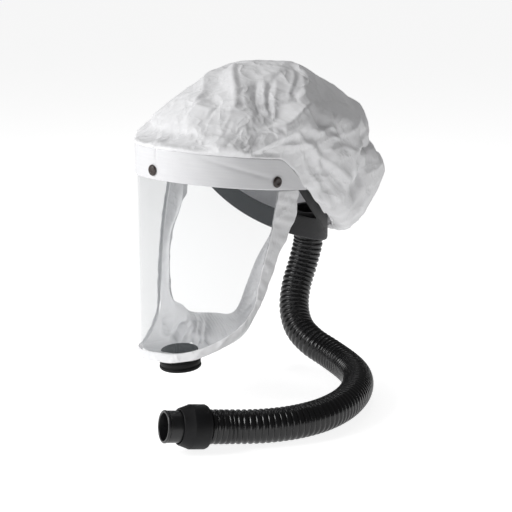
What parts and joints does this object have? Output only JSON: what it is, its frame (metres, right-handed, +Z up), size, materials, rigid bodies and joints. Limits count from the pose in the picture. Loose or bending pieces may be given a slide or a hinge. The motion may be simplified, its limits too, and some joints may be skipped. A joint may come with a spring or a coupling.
{
  "type": "disposable respirator hood",
  "caption": "Soft white respirator hood with a clear wrap-round visor, cloth face seal, chin valve and a corrugated black breathing hose ending in a plug.",
  "frame": {"origin": "middle of the head opening, on the line between the temple studs, level with the brow band's lower edge there", "axes": "+Z up, +X to the wearer's left, -Y the way the face looks"},
  "size_m": [0.286, 0.3812, 0.3488],
  "materials": {
    "spunbond_cloth": "matte white spunbond cloth",
    "band_cloth": "smooth white coated cloth",
    "visor_sheet": "clear polished plastic sheet",
    "strap_webbing": "black woven webbing",
    "stud_plastic": "dark moulded plastic",
    "moulded_rubber": "matte black moulded rubber",
    "hose_plastic": "glossy black corrugated plastic",
    "plug_plastic": "satin black moulded plastic"
  },
  "bodies": {
    "root": {"hood_crown": "spunbond_cloth", "brow_band": "band_cloth", "visor": "visor_sheet", "visor_binding": "spunbond_cloth", "face_seal": "spunbond_cloth", "nape_strap": "strap_webbing", "stud_front": "stud_plastic", "stud_left": "stud_plastic", "stud_right": "stud_plastic", "valve_body": "moulded_rubber", "valve_insert": "moulded_rubber", "hose_inlet": "moulded_rubber", "hose": "hose_plastic", "hose_cuff": "moulded_rubber", "hose_plug": "plug_plastic"}
  },
  "joints": []
}
